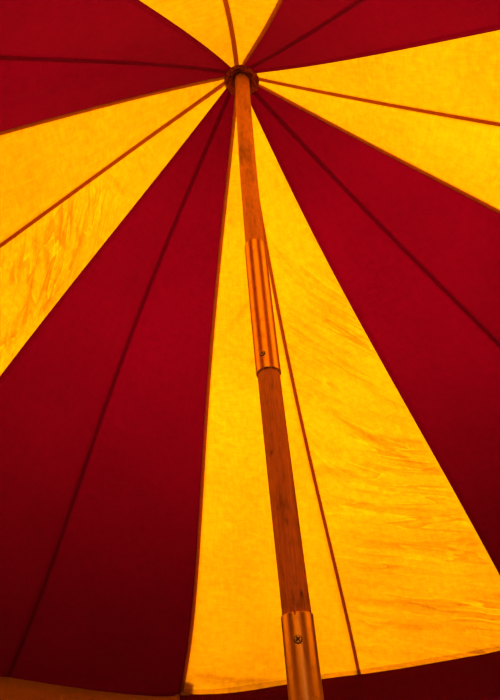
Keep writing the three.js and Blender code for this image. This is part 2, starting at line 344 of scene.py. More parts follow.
def crease(x, y, ends, depth, width, seed):
    """A pinched fold along a slightly wavering line between two points: a ridge with a softer hollow
    beside it, both bell curves of the distance from the line, fading out towards its ends. Also painted
    shade along it: a narrow dark line and a softer band, both set to one side of the fold."""
    (x1, y1), (x2, y2) = ends
    run = math.hypot(x2 - x1, y2 - y1)
    along = ((x - x1) * (x2 - x1) + (y - y1) * (y2 - y1)) / run**2
    away = ((x - x1) * (y2 - y1) - (y - y1) * (x2 - x1)) / run
    waver = 6 * patches(along * run / 60 + seed, along * 0, 5)
    waver = waver + 2 * patches(along * run / 19, along * 0 + seed, 7)
    away = away + waver + 0.1 * run * along * (along - 1)
    fade = ease(-0.1, 0.3, along) * ease(-0.1, 0.3, 1 - along)
    hollow = 0.55 * bell((away - 1.7 * width) / (1.4 * width))
    # Painted shade of the fold: a narrow line and a softer band to one side
    shade_line = bell((away + 0.3 * width) / (0.42 * width)) + 0.45 * bell((away + 0.5 * width) / width)
    return depth * fade * (bell(away / width) - hollow), fade * shade_line * depth


def handled(gore, share, radius):
    """Where the roof's canvas is creased from handling, for the material's painted shade and painted light
    beside
    each crease: millimetres along and across the way that its creases run, which is its own in the back and
    left gores, and how strong they are. The back gore's are a third broader, steep at first and more level
    towards the eave, and fade towards its middle seam. Elsewhere they are faint."""
    x, y = on_gore(share, radius)
    back, left = gore == BACK_GORE, gore == LEFT_GORE
    steep = 1.25 - 0.85 * ease(1150, 1500, radius)
    along = np.where(back, 0.75 * x, 0.9 * x - 0.3 * y + 700 * gore)
    along = np.where(left, 0.77 * y - 0.64 * x, along)
    across = np.where(back, 0.75 * (y + steep * x), 0.9 * y + 0.3 * x + 300 * gore)
    across = np.where(left, 0.77 * x + 0.64 * y, across)
    fading = 1.1 * (1 - 0.6 * share) * ease(250, 1000, radius)
    strong = np.where(left, ease(330, 800, radius), np.where(back, fading, 0.2))
    return np.stack([along, across, strong * ease(0, 0.05, share) * ease(0, 0.05, 1 - share)], -1)


def wrinkles(gore, share, radius):
    """How far the roof's cloth stands out of its gore's plane: broad soft waves everywhere, level folds
    across the back, a crumple across the left gore, streaks that fan out of the crown, strongest at the
    front left, and the creases in the list. All of it dies away at the seams. Also painted shade from 0 to
    1 along the listed creases and on the raised parts of the level folds, which darkens the light through
    the cloth."""
    x, y = on_gore(share, radius)
    back, beside, left = (gore == number for number in (BACK_GORE, BESIDE_BACK, LEFT_GORE))
    height = 1.1 * patches(x / 210 + 7 * gore, y / 260, 11)
    level = patches((x - 0.42 * y) / 260, (y + 0.42 * x) / 34, 23) * ease(350, 1300, radius)
    height = height + np.where(back, 1.8, np.where(beside, 0.5, 0)) * level
    # Painted shade on the raised parts of the level folds
    shade_in_creases = np.where(back, 0.11, np.where(beside, 0.03, 0.012)) * np.maximum(level, 0) ** 1.5
    crumple = 1 - 2 * np.abs(patches((0.77 * y - 0.64 * x) / 165, (0.77 * x + 0.64 * y) / 40, 31))
    crumpled = ease(380, 760, radius) * ease(0, 400, EAVE_RADIUS - radius)
    height = height + np.where(left, 1.6, 0) * crumple * crumpled
    streaks = patches(share * 7 + 3 * gore, y / 650, 41) * ease(100, 500, radius)
    height = height + np.where(np.isin(gore, FRONT_LEFT_GORES), 1.6, 0.35) * streaks
    first = 0
    for crossed, creases in CREASES.items():
        here = gore == crossed
        for number, (share1, radius1, share2, radius2, depth, width) in enumerate(creases, first):
            if here.any():
                ends = (on_gore(share1, radius1), on_gore(share2, radius2))
                fold, pressed = crease(x[here], y[here], ends, depth, width, number)
                height[here] += fold
                # Painted shade along each listed crease
                shade_in_creases[here] += CREASE_SHADE * pressed
        first += len(creases)
    held = ease(0, 0.07, share) * ease(0, 0.07, 1 - share)
    shade_in_creases = CREASE_SHADE_LIMIT * np.tanh(shade_in_creases / CREASE_SHADE_LIMIT)
    return height * held, shade_in_creases * ease(0, 0.03, share) * ease(0, 0.03, 1 - share)


def roof(g, radius):
    """The middle of the roof's cloth: on the straight line between two seams, sunk by a shallow belly,
    pushed by the wrinkles, and hanging a little lower between the corners along the eave, lowest near the
    slack corner in the gores beside it."""
    gore = np.floor(g).astype(int)
    share = g - gore
    near, far = seam_line(gore, radius), seam_line(gore + 1, radius)
    between = 4 * share * (1 - share)
    lift = wrinkles(gore, share, radius)[0] - BELLY * between * np.sin(np.pi * radius / EAVE_RADIUS)
    point = near + (far - near) * share[..., None] + gore_normal(gore) * lift[..., None]
    before, after = gore == SLACK_CORNER - 1, gore == SLACK_CORNER
    leaning = np.where(before, share**2, np.where(after, share**0.6, share))
    hang = np.array(EAVE_HANG)[gore % GORES] * 4 * leaning * (1 - leaning)
    point[..., 2] -= hang * ease(EAVE_RADIUS - 170, EAVE_RADIUS + 60, radius) * 1.5
    return point


def wall_plain(g, height):
    """The wall without its folds: straight from the roof's hem to the ground, and flat between seams.
    height runs from 0 to EAVE_HEIGHT and is stretched to meet the hem."""
    gore = np.floor(g).astype(int)
    share = (g - gore)[..., None]
    corners = [
        np.stack([WALL_FOOT_RADIUS * np.cos(a), WALL_FOOT_RADIUS * np.sin(a), 0 * a], -1)
        for a in ((gore - 0.5) * STEP, (gore + 0.5) * STEP)
    ]
    foot = corners[0] + (corners[1] - corners[0]) * share
    taken_up = TAKEN_UP * np.maximum(0, 1 - np.abs(g - TAKEN_UP_SEAM))
    top = roof(g, WALL_TOP_RADIUS - taken_up) - np.array((0, 0, WALL_TOP_DROP))
    return foot + (top - foot) * (height / EAVE_HEIGHT)[..., None]


def wall(g, height):
    """The wall hanging from the hem: slow folds that deepen towards the ground and run up and down, and
    small puckers below the hem, all dying away at the seams."""
    gore = np.floor(g).astype(int)
    share = g - gore
    low = 1 - height / EAVE_HEIGHT
    slow = patches(share * 4.2 + 5 * gore, height / 1300 + gore, 53) * (3 + 15 * low)
    puckers = 3.2 * patches(share * 14 + 3 * gore, height / 700, 59)
    puckers = puckers * ease(0.02, 0.1, low) * ease(0.2, 1, 1.2 - low)
    out = (slow + puckers) * ease(0, 0.18, share) * ease(0, 0.18, 1 - share)
    direction = np.stack([np.cos(gore * STEP), np.sin(gore * STEP), 0 * share], -1)
    return wall_plain(g, height) + direction * out[..., None]


def gore_columns(width, strip, edge_strip, first, last, steps):
    """Columns of points across one gore, as millimetres from its lower seam for each row: even steps over
    the cloth, a close pair at each edge of a felled seam, and past the sector's last seam a narrow lip
    that lies under its neighbour. Also how far each is inside the edge of its seam, whether it is folded,
    and which are the strip along the last seam, 1, and the lip, 2."""
    low = np.full(width.shape, GAP / 2) if first else np.minimum(strip, 0.3 * width)
    high = np.minimum(edge_strip if last else strip, 0.3 * width)
    start, stop = (low if first else low + PAIR), width - high - PAIR
    cloth = start[:, None] + (stop - start)[:, None] * np.linspace(0, 1, steps + 1)
    inside = -np.minimum(cloth - (-1e3 if first else low[:, None]), (width - high)[:, None] - cloth)
    columns, depths, folded = [cloth], [inside], [0] * (steps + 1)
    if not first:
        for depth in (0, PAIR):
            columns.insert(0, (low - depth)[:, None])
            depths.insert(0, 0 * low[:, None] + depth)
            folded.insert(0, 1)
    edge = [0] * len(folded)
    for depth in (0 * high, 0 * high + PAIR, *([high - PAIR] if last else []), high):
        columns.append((width - high + depth)[:, None])
        depths.append(depth[:, None])
        folded.append(1)
        edge.append(1 if last else 0)
    for past in (LIP_START, LIP) if last else ():
        columns.append((width + past)[:, None])
        depths.append((high + past)[:, None])
        folded.append(1)
        edge.append(2)
    return np.concatenate(columns, 1), np.concatenate(depths, 1), np.array(folded, float), np.array(edge)


def cloth(node, surface, width_at, stretch, seams, rows, steps, bands, dye):
    """One sector's cloth as a thin closed solid round surface(g, v): one ply of canvas, thicker in the
    felled seams and in the bands. v is the roof's distance from the axis or the wall's height, rows are its
    values where the cloth has points, stretch is the millimetres of cloth for each millimetre of v, and a
    band is (v at its sewn edge, which way it lies from there, how folded it is). node is the solid that it
    stands for."""
    sewn = [edge - way * inward for edge, way, _ in bands for inward in (0, PAIR)]
    rows = np.unique(np.array([*rows, *sewn], float))
    down = 0 * rows + EAVE_RADIUS
    if surface is roof:
        rows = rows[::-1]
        down = rows
    width = width_at(rows)
    strip = MIDDLE_STRIP + CROWN_STRIP * (1 - ease(60, 450, down))
    edge_strip = NARROW_EDGE.get(seams[-1], EDGE_STRIP)
    last = len(seams) - 2
    parts = [gore_columns(width, strip, edge_strip, i == 0, i == last, steps[i]) for i in range(last + 1)]
    g = np.concatenate([seam + part[0] / width[:, None] for seam, part in zip(seams, parts)], 1)
    across = [part[0] - width[:, None] / 2 + 1700 * seam for seam, part in zip(seams, parts)]
    inside = np.concatenate([part[1] for part in parts], 1)
    folded = np.tile(np.concatenate([part[2] for part in parts]), (len(rows), 1))
    edge = np.concatenate([part[3] for part in parts])
    lip = (edge == 2)[None, :, None]
    dark = folded * np.where((edge > 0) & (dye is RED_CANVAS), RED_EDGE_DARK, 1)
    dark = dark * (CROWN_SEAM + (1 - CROWN_SEAM) * ease(200, 1500, down))[:, None]
    v = np.repeat(rows[:, None], g.shape[1], 1)
    for edge, way, plies in bands:
        depth = way * (v - edge) * stretch
        folded = np.where(depth >= -1e-6, np.maximum(folded, plies), folded)
        dark = np.where(depth >= -1e-6, np.maximum(dark, plies), dark)
        inside = np.maximum(inside, depth)
    fields = {"cloth": both_faces(np.stack([np.concatenate(across, 1), v * stretch, inside], -1))}
    if surface is roof:
        gore = np.floor(g).astype(int)
        # The folded field also carries the painted shade of the creases and level folds
        dark = np.maximum(dark, wrinkles(gore, g - gore, v)[1])
        fields["shaded_creases"] = both_faces(handled(gore, g - gore, v))
    fields["folded"] = both_faces(dark)
    middle = surface(g, v)
    out = unit(np.cross(np.gradient(middle, axis=1), np.gradient(middle, axis=0)))
    fold = folded[..., None]
    outer = middle + out * np.where(lip, -LIP_DROP, PLY + SEAM_OUT * fold)
    inner = middle - out * np.where(lip, PLY + SEAM_IN + LIP_DROP, PLY + SEAM_IN * fold)
    return piece(node.replace("_", "_cloth_", 1), thin_solid(outer, inner), dye, node, **fields)


# Materials

# Settings that many nodes share
FLAT = {"noise_dimensions": "2D"}
SMOOTH = {"interpolation_type": "SMOOTHSTEP"}
COLOUR = {"data_type": "RGBA"}
TIMES = {"operation": "MULTIPLY"}
TIMES_PLUS = {"operation": "MULTIPLY_ADD"}


def add(tree, kind, inputs, given=0, **settings):
    """Adds a node and returns one of its outputs, given by name or number. settings are the node's
    properties, and inputs go to its sockets: each is a value or another node's output."""
    made = tree.nodes.new("ShaderNode" + kind)
    for name, value in settings.items():
        setattr(made, name, value)
    for key, value in inputs.items():
        if isinstance(value, bpy.types.NodeSocket):
            tree.links.new(value, made.inputs[key])
        else:
            made.inputs[key].default_value = value
    return made.outputs[given]


def new_finish(name, slot, surface, **values):
    """A finish: a material with the shader that surface(tree, **values) builds, and its slot."""
    made = bpy.data.materials.new(name)
    made.use_nodes = True
    tree = made.node_tree
    tree.nodes.clear()
    out = tree.nodes.new("ShaderNodeOutputMaterial")
    tree.links.new(surface(tree, **values), out.inputs[0])
    return made, slot


def canvas(tree, through, folded_through, face, shade, smoke, soiled, soil_start):
    """Cotton canvas, plain woven and dyed in the piece: a matt cloth with slubs along both sets of threads.
    Daylight comes through it in a deeper colour than the face shows, and little gets through where a seam
    or hem is folded four thick, so they read as dark lines from inside. Lamp smoke gathers at the crown and
    mud splashes the walls' feet, which dull it, and painted shade darkens it towards the eave and the
    walls' tops. Its creases get painted shade on one side and painted light on the other, and the folded
    field brings painted shade along the listed creases and level folds. Threads are about 0.6 mm apart, too
    fine to show at the size of a tent, so the slubs are drawn 4 to 7 mm wide."""
    place = add(tree, "Attribute", {}, "Vector", attribute_name="cloth")
    down, inside = (add(tree, "SeparateXYZ", {0: place}, axis) for axis in "YZ")
    plies = add(tree, "Attribute", {}, "Fac", attribute_name="folded")
    uneven = 0.0
    for scale in ((1 / 70, 1 / 5, 0), (1 / 5, 1 / 90, 0)):
        drawn = add(tree, "Mapping", {0: place, "Scale": scale})
        threads = add(tree, "TexNoise", {0: drawn, "Scale": 1.0, "Detail": 2.0, "Roughness": 0.6}, **FLAT)
        uneven = add(tree, "Math", {0: threads, 1: uneven}, operation="ADD")
    blots = add(tree, "TexNoise", {0: place, "Scale": 1 / 28, "Detail": 4.0, "Roughness": 0.75}, **FLAT)
    rough = add(tree, "Math", {0: blots, 1: 2.0, 2: uneven}, **TIMES_PLUS)
    clouds = add(tree, "TexNoise", {0: place, "Scale": 1 / 420, "Detail": 2.0}, **FLAT)
    uneven = add(tree, "Math", {0: clouds, 1: 1.2, 2: rough}, **TIMES_PLUS)
    shades = {"Value": uneven, "From Min": 1.8, "From Max": 3.4, "To Min": 1 - shade, "To Max": 1 + shade}
    tone = add(tree, "MapRange", shades)
    # Creases from handling: each is sharp where a noise drawn out along it passes its middle value. Its
    # colour is painted shade on one side and painted light on the other, as a low light across the fold
    # would give
    shaded_creases = add(tree, "Attribute", {}, "Vector", attribute_name="shaded_creases")
    start, sharp_by = 0.49, 0.505
    ridge, bright = 0.0, 0.0
    for long, thick, soft, share in ((230, 34, 0.16, 1.0), (90, 17, 0.12, 0.45)):
        drawn = add(tree, "Mapping", {0: shaded_creases, "Scale": (1 / long, 1 / thick, 0)})
        waves = {0: drawn, "Scale": 1.0, "Detail": 1.0, "Roughness": 0.4, "Distortion": 0.4}
        bent = add(tree, "TexNoise", waves, **FLAT)
        sharp = add(tree, "MapRange", {"Value": bent, "From Min": start, "From Max": sharp_by}, **SMOOTH)
        softly = {"From Min": sharp_by, "From Max": sharp_by + soft, "To Min": 1.0, "To Max": 0.0}
        fading = add(tree, "MapRange", {"Value": bent, **softly})
        dark = add(tree, "Math", {0: sharp, 1: fading}, **TIMES)
        ridge = add(tree, "Math", {0: dark, 1: share, 2: ridge}, **TIMES_PLUS)
        rising = add(tree, "MapRange", {"Value": bent, "From Min": start - soft / 3, "From Max": start})
        crease_highlight = add(tree, "Math", {0: rising, 1: sharp}, operation="SUBTRACT")
        bright = add(tree, "Math", {0: crease_highlight, 1: share, 2: bright}, **TIMES_PLUS)
    broad = add(tree, "Mapping", {0: shaded_creases, "Scale": (1 / 260, 1 / 150, 0)})
    gone = add(tree, "TexNoise", {0: broad, "Scale": 1.0, "Detail": 1.0}, **FLAT)
    gone = {"Value": gone, "From Min": 0.38, "From Max": 0.62, "To Min": 0.3}
    here = add(tree, "MapRange", gone, **SMOOTH)
    strength = add(tree, "SeparateXYZ", {0: shaded_creases}, "Z")
    strength = add(tree, "Math", {0: strength, 1: here}, **TIMES)
    ridge, bright = (add(tree, "Math", {0: side, 1: strength}, **TIMES) for side in (ridge, bright))
    bright = add(tree, "Math", {0: bright, 1: 0.2, 2: 1.0}, **TIMES_PLUS)
    # Smoke within 1000 of the crown, mud within 1000 of a wall's foot, and painted shade from the shade's
    # start on, darker towards the eave and the walls' tops
    for low, high, low_tone, high_tone in ((0.0, 1000.0, smoke, 1.0), (soil_start, 2900.0, 1.0, soiled)):
        ends = {"From Min": low, "From Max": high, "To Min": low_tone, "To Max": high_tone}
        smoke_and_eave_shade = add(tree, "MapRange", {"Value": down, **ends}, **SMOOTH)
        tone = add(tree, "Math", {0: tone, 1: smoke_and_eave_shade}, **TIMES)
    # Two rows of stitches along each sewn edge, 2.5 mm and 8 mm inside it, 4 mm from stitch to stitch
    dash = add(tree, "Math", {0: down, 1: 2.0}, operation="PINGPONG")
    thread = add(tree, "Math", {0: dash, 1: 0.5}, operation="GREATER_THAN")
    rows = [add(tree, "Math", {0: inside, 1: at, 2: 0.6}, operation="COMPARE") for at in (2.5, 8.0)]
    either = add(tree, "Math", {0: rows[0], 1: rows[1]}, operation="MAXIMUM")
    stitch = add(tree, "Math", {0: either, 1: thread}, **TIMES)
    # Painted shade of the creases joins the real plies in darkening the light through the cloth, and
    # painted light brightens the other side of each crease
    pressed = add(tree, "Math", {0: ridge, 1: 0.25, 2: plies}, use_clamp=True, **TIMES_PLUS)
    lit = add(tree, "Mix", {0: pressed, 6: linear(through), 7: linear(folded_through)}, 2, **COLOUR)
    lighter = add(tree, "Math", {0: tone, 1: bright}, **TIMES)
    lit = add(tree, "VectorMath", {0: lit, "Scale": lighter}, operation="SCALE")
    seen = add(tree, "VectorMath", {0: linear(face)[:3], "Scale": tone}, operation="SCALE")
    dimmed = {0: stitch, 6: seen, 7: (0.62, 0.55, 0.5, 1)}
    seen = add(tree, "Mix", dimmed, 2, blend_type="MULTIPLY", **COLOUR)
    raised = add(tree, "Math", {0: stitch, 1: 0.6, 2: rough}, **TIMES_PLUS)
    raised = add(tree, "Math", {0: ridge, 1: 1.5, 2: raised}, **TIMES_PLUS)
    bump = add(tree, "Bump", {"Strength": 0.5, "Distance": 0.0012, "Height": raised})
    matt = {"Base Color": seen, "Roughness": 0.88, "Specular IOR Level": 0.25, "Normal": bump}
    matt = add(tree, "BsdfPrincipled", {**matt, "Sheen Weight": 0.15, "Sheen Roughness": 0.5})
    shining = add(tree, "BsdfTranslucent", {"Color": lit, "Normal": bump})
    return add(tree, "MixShader", {0: THROUGH_SHARE, 1: matt, 2: shining})


def wood(tree, pale, dark, clean, knot, roughness, ring, ruts):
    """Straight-grained wood, cut and planed or cleft, then oiled or left to the weather: long streaks of
    early and late wood along Z, fine pores, small dark knots where the piece has them, a mottle of 9 mm
    from hands and oil, and a paler colour rising from 1.75 m to 3.1 m, which is painted light on the
    upper pole. The knot field also brings painted shade under the sleeves and painted shadow at the pole's
    head. Rings are 3 or 4 mm apart."""
    place = add(tree, "TexCoord", {}, "Object")
    drawn = add(tree, "Mapping", {0: place, "Scale": (1000 / ring, 1000 / ring, 1000 / (ring * 32))})
    streaks = {0: drawn, "Scale": 1.0, "Detail": 3.0, "Roughness": 0.55, "Distortion": 0.4}
    rings = add(tree, "TexNoise", streaks)
    fine = add(tree, "Mapping", {0: place, "Scale": (1400, 1400, 26)})
    pores = add(tree, "TexNoise", {0: fine, "Scale": 1.0, "Detail": 2.0})
    soiled = add(tree, "Mapping", {0: place, "Scale": (22, 22, 5)})
    dirt = add(tree, "TexNoise", {0: soiled, "Scale": 1.0, "Detail": 5.0, "Roughness": 0.65})
    spotted = add(tree, "Mapping", {0: place, "Scale": (110, 110, 34)})
    mottle = add(tree, "TexNoise", {0: spotted, "Scale": 1.0, "Detail": 3.0, "Roughness": 0.6})
    height = add(tree, "SeparateXYZ", {0: place}, "Z")
    knot_and_shade = add(tree, "Attribute", {}, "Fac", attribute_name="knot")
    grain = add(tree, "MapRange", {"Value": rings, "From Min": 0.35, "From Max": 0.68})
    # Painted light: paler towards the top of the pole
    reach = {"Value": height, "From Min": 1.75, "From Max": 3.1, "To Max": 0.85}
    reach = add(tree, "MapRange", reach, **SMOOTH)
    blotted = add(tree, "MapRange", {"Value": mottle, "From Min": 0.45, "From Max": 0.8, "To Max": 0.3})
    speckled = add(tree, "MapRange", {"Value": pores, "From Min": 0.56, "From Max": 0.75, "To Max": 0.4})
    grime_and_shade = add(tree, "MapRange", {"Value": dirt, "From Min": 0.52, "From Max": 0.76, "To Max": 0.75})
    broken = add(tree, "MapRange", {"Value": mottle, "From Min": 0.36, "From Max": 0.6, "To Min": 0.25})
    # The knot field: real knots and bruises, dirt, and painted shade and shadow bands
    knot_and_shade = add(tree, "Math", {0: knot_and_shade, 1: broken}, **TIMES)
    grime_and_shade = add(tree, "Math", {0: grime_and_shade, 1: knot_and_shade}, operation="MAXIMUM")
    base = linear(pale)
    for share, colour in ((grain, dark), (reach, clean), (blotted, knot), (speckled, knot), (grime_and_shade, knot)):
        base = add(tree, "Mix", {0: share, 6: base, 7: linear(colour)}, 2, **COLOUR)
    dull = add(tree, "MapRange", {"Value": dirt, "To Min": roughness - 0.1, "To Max": roughness + 0.15})
    relief = add(tree, "Math", {0: pores, 1: 0.35, 2: rings}, **TIMES_PLUS)
    bump = add(tree, "Bump", {"Strength": 0.6, "Distance": ruts, "Height": relief})
    oiled = {"Base Color": base, "Roughness": dull, "IOR": 1.5, "Specular IOR Level": 0.4, "Normal": bump}
    return add(tree, "BsdfPrincipled", oiled)


def leather(tree):
    """Vegetable-tanned cowhide, dressed with grease and crinkled by use: a dark red-brown with a pebbled
    grain of 2 mm, paler along the ridges of the creases, nearly black where the deep field paints shade
    into its folds, and a low greasy shine."""
    place = add(tree, "TexCoord", {}, "Object")
    pebbles = add(tree, "TexVoronoi", {0: place, "Scale": 430.0}, feature="DISTANCE_TO_EDGE")
    crinkles = {0: place, "Scale": 70.0, "Detail": 5.0, "Roughness": 0.6, "Distortion": 0.8}
    folds = add(tree, "TexNoise", crinkles)
    worn = add(tree, "MapRange", {"Value": folds, "From Min": 0.42, "From Max": 0.7})
    deep = add(tree, "Attribute", {}, "Fac", attribute_name="deep")
    base = linear("8a3420")
    # deep is painted shade, nearly black
    for share, colour in ((worn, "dc6c3c"), (deep, "1c0c06")):
        base = add(tree, "Mix", {0: share, 6: base, 7: linear(colour)}, 2, **COLOUR)
    grain = add(tree, "MapRange", {"Value": pebbles, "From Max": 0.25})
    height = add(tree, "Math", {0: folds, 1: 3.0, 2: grain}, **TIMES_PLUS)
    bump = add(tree, "Bump", {"Strength": 0.7, "Distance": 0.0008, "Height": height})
    dull = add(tree, "MapRange", {"Value": folds, "To Min": 0.45, "To Max": 0.7})
    return add(tree, "BsdfPrincipled", {"Base Color": base, "Roughness": dull, "Normal": bump})


def brass(tree, bright, tarnish, least, most):
    """Rolled brass sheet, drawn round the pole and dulled by handling: a soft mirror streaked along its
    length by the rolls, with brown tarnish in patches, and nearly black with painted shade where the deep
    field marks a hollow."""
    place = add(tree, "TexCoord", {}, "Object")
    drawn = add(tree, "Mapping", {0: place, "Scale": (900, 900, 9)})
    streaks = add(tree, "TexNoise", {0: drawn, "Scale": 1.0, "Detail": 2.0})
    cloud = add(tree, "TexNoise", {0: place, "Scale": 38.0, "Detail": 6.0, "Roughness": 0.66})
    spots = add(tree, "MapRange", {"Value": cloud, "From Min": 0.5, "From Max": 0.8, "To Max": 0.6})
    deep = add(tree, "Attribute", {}, "Fac", attribute_name="deep")
    base = linear(bright)
    # The deep field is painted shade
    for share, colour in ((spots, tarnish), (deep, "120a06")):
        base = add(tree, "Mix", {0: share, 6: base, 7: linear(colour)}, 2, **COLOUR)
    dull = {"Value": cloud, "From Min": 0.3, "From Max": 0.75, "To Min": least, "To Max": most}
    dull = add(tree, "MapRange", dull)
    bump = add(tree, "Bump", {"Strength": 0.04, "Distance": 0.0001, "Height": streaks})
    rolled = {"Base Color": base, "Metallic": 1.0, "Roughness": dull, "Normal": bump}
    return add(tree, "BsdfPrincipled", rolled)


def hemp(tree):
    """Three-strand hemp, hackled, spun and laid, never bleached: a matt grey-gold with paler and darker
    fibres along the strands, darker the deeper it lies in the grooves between them."""
    place = add(tree, "Attribute", {}, "Vector", attribute_name="strand")
    groove = add(tree, "SeparateXYZ", {0: place}, "Z")
    drawn = add(tree, "Mapping", {0: place, "Scale": (0.9, 0.05, 0)})
    fibres = add(tree, "TexNoise", {0: drawn, "Scale": 1.0, "Detail": 3.0})
    base = linear("8d7447")
    for share, colour in ((fibres, "d8c494"), (groove, "4a3a20")):
        base = add(tree, "Mix", {0: share, 6: base, 7: linear(colour)}, 2, **COLOUR)
    bump = add(tree, "Bump", {"Strength": 0.6, "Distance": 0.0006, "Height": fibres})
    laid = {"Base Color": base, "Roughness": 0.9, "Specular IOR Level": 0.2, "Sheen Weight": 0.2}
    return add(tree, "BsdfPrincipled", {**laid, "Normal": bump})


def paper(tree):
    """The studio's floor: matt grey paper."""
    return add(tree, "BsdfPrincipled", {"Base Color": (0.32, 0.31, 0.3, 1), "Roughness": 0.9})


# The last two values of each canvas set the painted shade towards the eave and the walls' tops
YELLOW_CANVAS = new_finish(
    "woven_yellow_canvas", "yellow_canvas", canvas, through="fbc022", folded_through="a24c12",
    face="fbc638", shade=0.16, smoke=0.9, soiled=0.88, soil_start=1800.0,
)
RED_CANVAS = new_finish(
    "woven_red_canvas", "red_canvas", canvas, through="a20a42", folded_through="7c063a",
    face="b4142c", shade=0.12, smoke=0.78, soiled=0.45, soil_start=1100.0,
)
# The pole's pale colour towards its top is painted light
POLE_WOOD = new_finish(
    "oiled_pine", "pole_wood", wood, pale="de863e", dark="c66c2c", clean="ffb85c", knot="4a1c0a",
    roughness=0.5, ring=4.0, ruts=0.0004,
)
PEG_WOOD = new_finish(
    "cleft_ash", "peg_wood", wood, pale="b39a74", dark="8a7050", clean="b39a74", knot="4a3a28",
    roughness=0.75, ring=3.0, ruts=0.0012,
)
LEATHER = new_finish("waxed_leather", "leather", leather)
SLEEVE_METAL = new_finish(
    "drawn_brass", "sleeve_metal", brass, bright="f0c060", tarnish="c08438", least=0.27, most=0.4
)
SCREW_METAL = new_finish(
    "turned_brass", "sleeve_metal", brass, bright="e0b878", tarnish="6a4824", least=0.35, most=0.55
)
HEMP = new_finish("laid_hemp", "hemp_rope", hemp)


# Tubes, straps and ropes along a path


def lengths(path):
    """How far along a path each of its points lies."""
    return np.concatenate([[0], np.cumsum(np.linalg.norm(np.diff(path, axis=0), axis=1))])


def rounded(corners, radius, spacing):
    """Points at even spacing along straight runs between corners, each corner turned into a parabola that
    starts and ends at radius from it."""
    corners = np.array(corners, float)
    points = [corners[0]]
    t = np.linspace(0, 1, 9)[:, None]
    for before, corner, after in zip(corners, corners[1:], corners[2:]):
        start = corner + unit(before - corner) * min(radius, 0.45 * np.linalg.norm(before - corner))
        stop = corner + unit(after - corner) * min(radius, 0.45 * np.linalg.norm(after - corner))
        points.extend((1 - t) ** 2 * start + 2 * t * (1 - t) * corner + t**2 * stop)
    points = np.array([*points, corners[-1]])
    far = lengths(points)
    even = np.linspace(0, far[-1], max(4, round(far[-1] / spacing)) + 1)
    return np.stack([np.interp(even, far, points[:, i]) for i in range(3)], -1)


def sweep(path, section, across):
    """Rings of a section carried along a path. The section's first axis keeps as near to across as it can
    and its second is at right angles to that and to the path."""
    tangent = unit(np.gradient(path, axis=0))
    across = np.broadcast_to(np.asarray(across, float), path.shape)
    first = unit(across - (across * tangent).sum(-1, keepdims=True) * tangent)
    second = np.cross(tangent, first)
    section = np.broadcast_to(section, (len(path), *section.shape[-2:]))
    return path[:, None] + first[:, None] * section[..., :1] + second[:, None] * section[..., 1:]


def oblong(width, height, power, count):
    """The outline of a rounded rectangle: a superellipse of that power."""
    c, s = np.cos(directions(count)), np.sin(directions(count))
    x, y = (np.sign(part) * np.abs(part) ** (2 / power) for part in (c, s))
    return np.stack([width / 2 * x, height / 2 * y], -1)


def strap(path, width, thickness, across):
    """A flat band of leather or canvas along a path, with softened edges and ends."""
    close = np.ones(len(path))
    close[[0, -1]] = 0.86
    return skin(sweep(path, oblong(width, thickness, 6, 20) * close[:, None, None], across))


def rope(path, radius, across):
    """Laid rope: a three-lobed section that turns once in every lay. Returns the solid and, for each of
    its points, the place along and across the strands and how deep it is in a groove."""
    far = lengths(path)[:, None]
    angle = directions(9)
    turned = angle + 2 * np.pi * far / (ROPE_LAY * radius / ROPE_RADIUS)
    lobe = np.abs(np.cos(1.5 * (angle - math.radians(20))))
    size = radius * (0.8 + 0.22 * lobe)
    section = np.stack([size * np.cos(turned), size * np.sin(turned)], -1)
    strand = np.stack(np.broadcast_arrays(angle * radius, far, 1 - lobe), -1)
    return skin(sweep(path, section, across)), with_ends(strand)


# Roof and walls

SIDES = ("right", "back_right", "back", "back_left", "left", "front_left", "front", "front_right")
# Rows from the crown to 400, to 1450 and to the eave, and columns in each gore, close where the folds are
ROOF_RUNS = ((CROWN_HOLE, 400), (400, 1450), (1450, EAVE_RADIUS))
ROOF_GRIDS = {"back": ((22, 176, 146), (94, 26)), "left": ((28, 200, 34), (104, 22))}
PLAIN_GRID = ((24, 50, 36), (26, 26))
WALL_ROWS = np.linspace(0, EAVE_HEIGHT, 46)
ROOF_BANDS = ((EAVE_RADIUS - HEM / SLANT, 1, 0.25),)
WALL_BANDS = ((HEM, -1, 0.5), (EAVE_HEIGHT - HEADING, 1, 0.95))

for i, side in enumerate(SIDES):
    seams = (2 * i - 1, 2 * i, 2 * i + 1)
    roof_dye, wall_dye = (RED_CANVAS, YELLOW_CANVAS) if i % 2 else (YELLOW_CANVAS, RED_CANVAS)
    roof_node = f"roof_{'red' if i % 2 else 'yellow'}_{side}"
    wall_node = f"wall_{'yellow' if i % 2 else 'red'}_{side}"
    counts, columns = ROOF_GRIDS.get(side, PLAIN_GRID)
    rows = np.concatenate([np.linspace(*run, count) for run, count in zip(ROOF_RUNS, counts)])
    made = cloth(roof_node, roof, roof_width, SLANT, seams, rows, columns, ROOF_BANDS, roof_dye)
    wall_seams = seams[:2] if side == "front" else seams
    hung = cloth(wall_node, wall, wall_width, 1.0, wall_seams, WALL_ROWS, (24, 24), WALL_BANDS, wall_dye)


# The doorway's two drawn flaps and their ties

DOOR_SEAMS = (12, 13)
FLAP_HEM = 18
PLEATS = 6
TIE_HEIGHT = 950
TIE_WIDTH, TIE_THICK = 24, 2.2


def flap_share(height):
    """How much of its half of the doorway a flap still covers: all of it at the top, drawn back along a
    curve to the tie, and falling nearly straight from there."""
    rise = np.clip((height - TIE_HEIGHT) / (EAVE_HEIGHT - TIE_HEIGHT), 0, 1)
    return np.where(height < TIE_HEIGHT, 0.36 - 0.06 * height / TIE_HEIGHT, 0.3 + 0.7 * rise**1.6)


